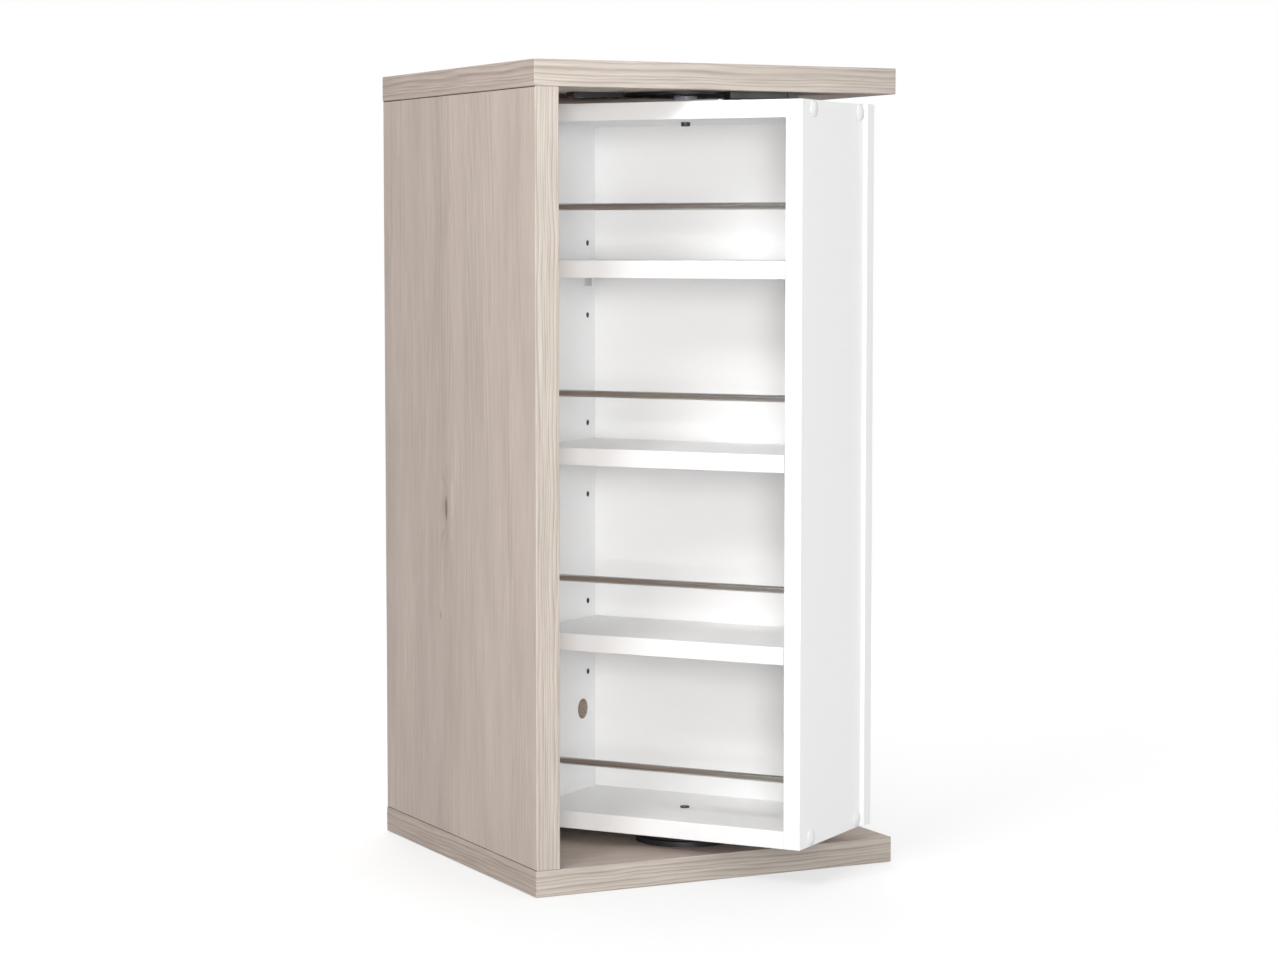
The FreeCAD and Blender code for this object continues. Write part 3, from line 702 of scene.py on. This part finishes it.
def dress_fittings(nodes):
    black = plastic("black_plastic_fine", BLACK, 0.42)
    felt = plastic("dark_felt_plastic", PAD_BLACK, 0.66, FELT_GRAIN, FELT_DEPTH)
    grey = plastic("grey_plastic_fine", GREY, 0.40)
    pale = plastic("pale_spacer_plastic", SPACER_GREY, 0.34)
    cap = plastic("white_cap_plastic", CAP_WHITE, 0.28, CAP_GRAIN, CAP_DEPTH)
    zinc = metal("zinc_plated", ZINC, 0.34)
    steel = metal("dark_steel", DARK_STEEL, 0.38)
    brass = metal("turned_brass", BRASS, 0.30)
    groups = (
        (black, ("top_bearing_disc", "catch_housing", "turntable_base", "turntable_top",
                 "bottom_pivot_ring")),
        (felt, ("anti_tilt_pad",)),
        (zinc, ("cam_housings", "cam_bolts", "bearing_disc_screws", "catch_pole_strips",
                "catch_and_pad_screws", "turntable_base_screws", "turntable_balls",
                "shelf_supports", "carcase_screws", "catch_plates", "catch_plate_screws",
                "turntable_top_screws", "turntable_stop_pin", "bottom_pivot_bolt")),
        (grey, ("top_pivot_bush",)),
        (pale, ("top_pivot_spacer",)),
        (steel, ("top_pivot_bolt",)),
        (brass, ("top_pivot_insert",)),
        (cap, ("cover_caps",)),
        (beech(), ("casing_dowels", "back_board_dowels")),
    )
    for material, names in groups:
        for name in names:
            cover(nodes[name], material)


# --- Camera, light and floor -----------------------------------------------------------------


def add_camera(scene):
    data = bpy.data.cameras.new("photo_camera")
    data.lens = CAMERA_LENS_MM
    data.sensor_fit = "HORIZONTAL"
    camera = bpy.data.objects.new("photo_camera", data)
    camera.location = CAMERA_PLACE
    camera.rotation_euler = Euler((math.radians(CAMERA_TILT_DEG), 0.0,
                                   math.radians(CAMERA_TURN_DEG)))
    scene.collection.objects.link(camera)
    scene.camera = camera


def add_softbox(scene, name, place, target, size, watts, glossy):
    """A square or oblong lamp. One that isn't glossy makes no sheen on what it lights."""
    data = bpy.data.lights.new(name, "AREA")
    data.shape = "RECTANGLE"
    data.size, data.size_y = size
    data.energy = watts
    light = bpy.data.objects.new(name, data)
    light.visible_glossy = glossy
    light.location = place
    aim = Vector(target) - Vector(place)
    light.rotation_euler = aim.to_track_quat("-Z", "Y").to_euler()
    scene.collection.objects.link(light)


def add_world(scene):
    """A pale studio: white to the camera, and a dim even light, a little brighter overhead."""
    world = bpy.data.worlds.new("studio")
    scene.world = world
    world.use_nodes = True
    tree = world.node_tree
    tree.nodes.clear()
    place = tree.nodes.new("ShaderNodeTexCoord")
    split = tree.nodes.new("ShaderNodeSeparateXYZ")
    tree.links.new(place.outputs["Generated"], split.inputs[0])
    ramp = tree.nodes.new("ShaderNodeValToRGB")
    low, high = ramp.color_ramp.elements
    low.color = (WORLD_LOW, WORLD_LOW, WORLD_LOW, 1.0)
    high.color = (WORLD_HIGH, WORLD_HIGH, WORLD_HIGH, 1.0)
    tree.links.new(split.outputs["Z"], ramp.inputs[0])
    light = tree.nodes.new("ShaderNodeBackground")
    tree.links.new(ramp.outputs[0], light.inputs["Color"])
    white = tree.nodes.new("ShaderNodeBackground")
    white.inputs["Color"].default_value = WHITE_LIGHT
    rays = tree.nodes.new("ShaderNodeLightPath")
    mix = tree.nodes.new("ShaderNodeMixShader")
    tree.links.new(rays.outputs["Is Camera Ray"], mix.inputs[0])
    tree.links.new(light.outputs[0], mix.inputs[1])
    tree.links.new(white.outputs[0], mix.inputs[2])
    output = tree.nodes.new("ShaderNodeOutputWorld")
    tree.links.new(mix.outputs[0], output.inputs["Surface"])


def floor_card(graph, place):
    """The floor's own surface: a matt grey card, faintly mottled."""
    mottle = graph.noise(place, 3.0, 3.0, 0.6)
    dark = FLOOR_TONE - FLOOR_MOTTLE
    card = graph.tree.nodes.new("ShaderNodeBsdfDiffuse")
    graph.put(card.inputs["Color"], graph.mix(mottle, (FLOOR_TONE,) * 3, (dark,) * 3))
    return card.outputs[0]


def floor_fade(graph, place):
    """0 near the cabinet, rising softly to 1 where the floor has turned white."""
    distance = graph.tree.nodes.new("ShaderNodeVectorMath")
    distance.operation = "LENGTH"
    graph.put(distance.inputs[0], place)
    fade = graph.spread(distance.outputs["Value"], FADE_FROM, FADE_TO)
    return graph.math("SMOOTH_MAX", fade, 0.0, FADE_SOFT)


def floor_material():
    """A grey card with a white glow on top, which only the camera sees and which fades in."""
    graph = Graph("floor_pale")
    place = graph.coordinates()
    fade = floor_fade(graph, place)
    seen = graph.tree.nodes.new("ShaderNodeLightPath").outputs["Is Camera Ray"]
    glow = graph.tree.nodes.new("ShaderNodeEmission")
    strength = graph.times(seen, graph.spread(fade, 0.0, 1.0, FLOOR_GLOW, 1.0))
    graph.put(glow.inputs["Strength"], strength)
    lit = graph.tree.nodes.new("ShaderNodeAddShader")
    graph.put(lit.inputs[0], floor_card(graph, place))
    graph.put(lit.inputs[1], glow.outputs[0])
    far = graph.tree.nodes.new("ShaderNodeMixShader")
    graph.put(far.inputs[0], graph.times(seen, fade))
    graph.put(far.inputs[1], lit.outputs[0])
    graph.put(far.inputs[2], glow.outputs[0])
    graph.tree.links.new(far.outputs[0], graph.output.inputs["Surface"])
    return graph.material


def add_floor():
    """A big pale disc just under the cabinet, which fades into the white surroundings.

    The camera sees it as pale as a lit paper sweep. To all other rays it is a matt grey card, so
    it doesn't light the cabinet from below.
    """
    bpy.ops.mesh.primitive_circle_add(vertices=128, radius=FLOOR_RADIUS, fill_type="NGON",
                                      location=(0.0, 0.0, -FLOOR_DROP))
    floor = bpy.context.object
    floor.name = "studio_floor"
    floor.data.materials.append(floor_material())


def add_light(scene):
    scene.view_settings.view_transform = "Standard"
    add_world(scene)
    for lamp in LAMPS:
        add_softbox(scene, *lamp)


def main():
    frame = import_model()
    nodes = frame["nodes"]
    # At the joint's upper limit the unit stands square in the casing, its shelves forward.
    turn = math.radians(frame["joints"][0]["range_deg"][1])
    core = chipboard("chipboard_core", CORE_LIGHT, CORE_DARK)
    dress_casing(nodes, core)
    dress_unit(nodes, core, turn)
    dress_fittings(nodes)
    scene = bpy.context.scene
    add_camera(scene)
    add_light(scene)
    add_floor()


main()
